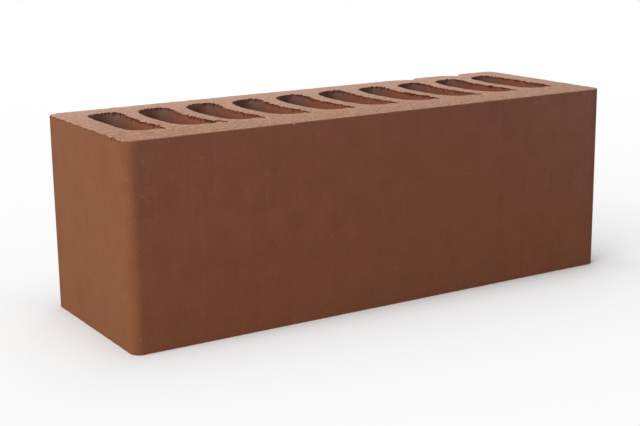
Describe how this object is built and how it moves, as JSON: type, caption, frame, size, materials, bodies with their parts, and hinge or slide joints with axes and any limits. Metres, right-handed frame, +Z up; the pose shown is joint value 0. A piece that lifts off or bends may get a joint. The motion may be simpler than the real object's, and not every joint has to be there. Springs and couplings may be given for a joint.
{
  "type": "hollow clay brick",
  "caption": "Hollow facing brick of fired clay with rounded upright corners and a row of round-ended slots through it from bed to bed, laid in mortar to build walls.",
  "frame": {"origin": "middle of the lower bed, on the floor", "axes": "+X along the brick's length, +Y across it from the facing side to the back, +Z up from the lower bed to the upper bed"},
  "size_m": [0.25, 0.085, 0.088],
  "materials": {
    "fired_clay": "matte"
  },
  "bodies": {
    "root": {"brick": "fired_clay"}
  },
  "joints": []
}
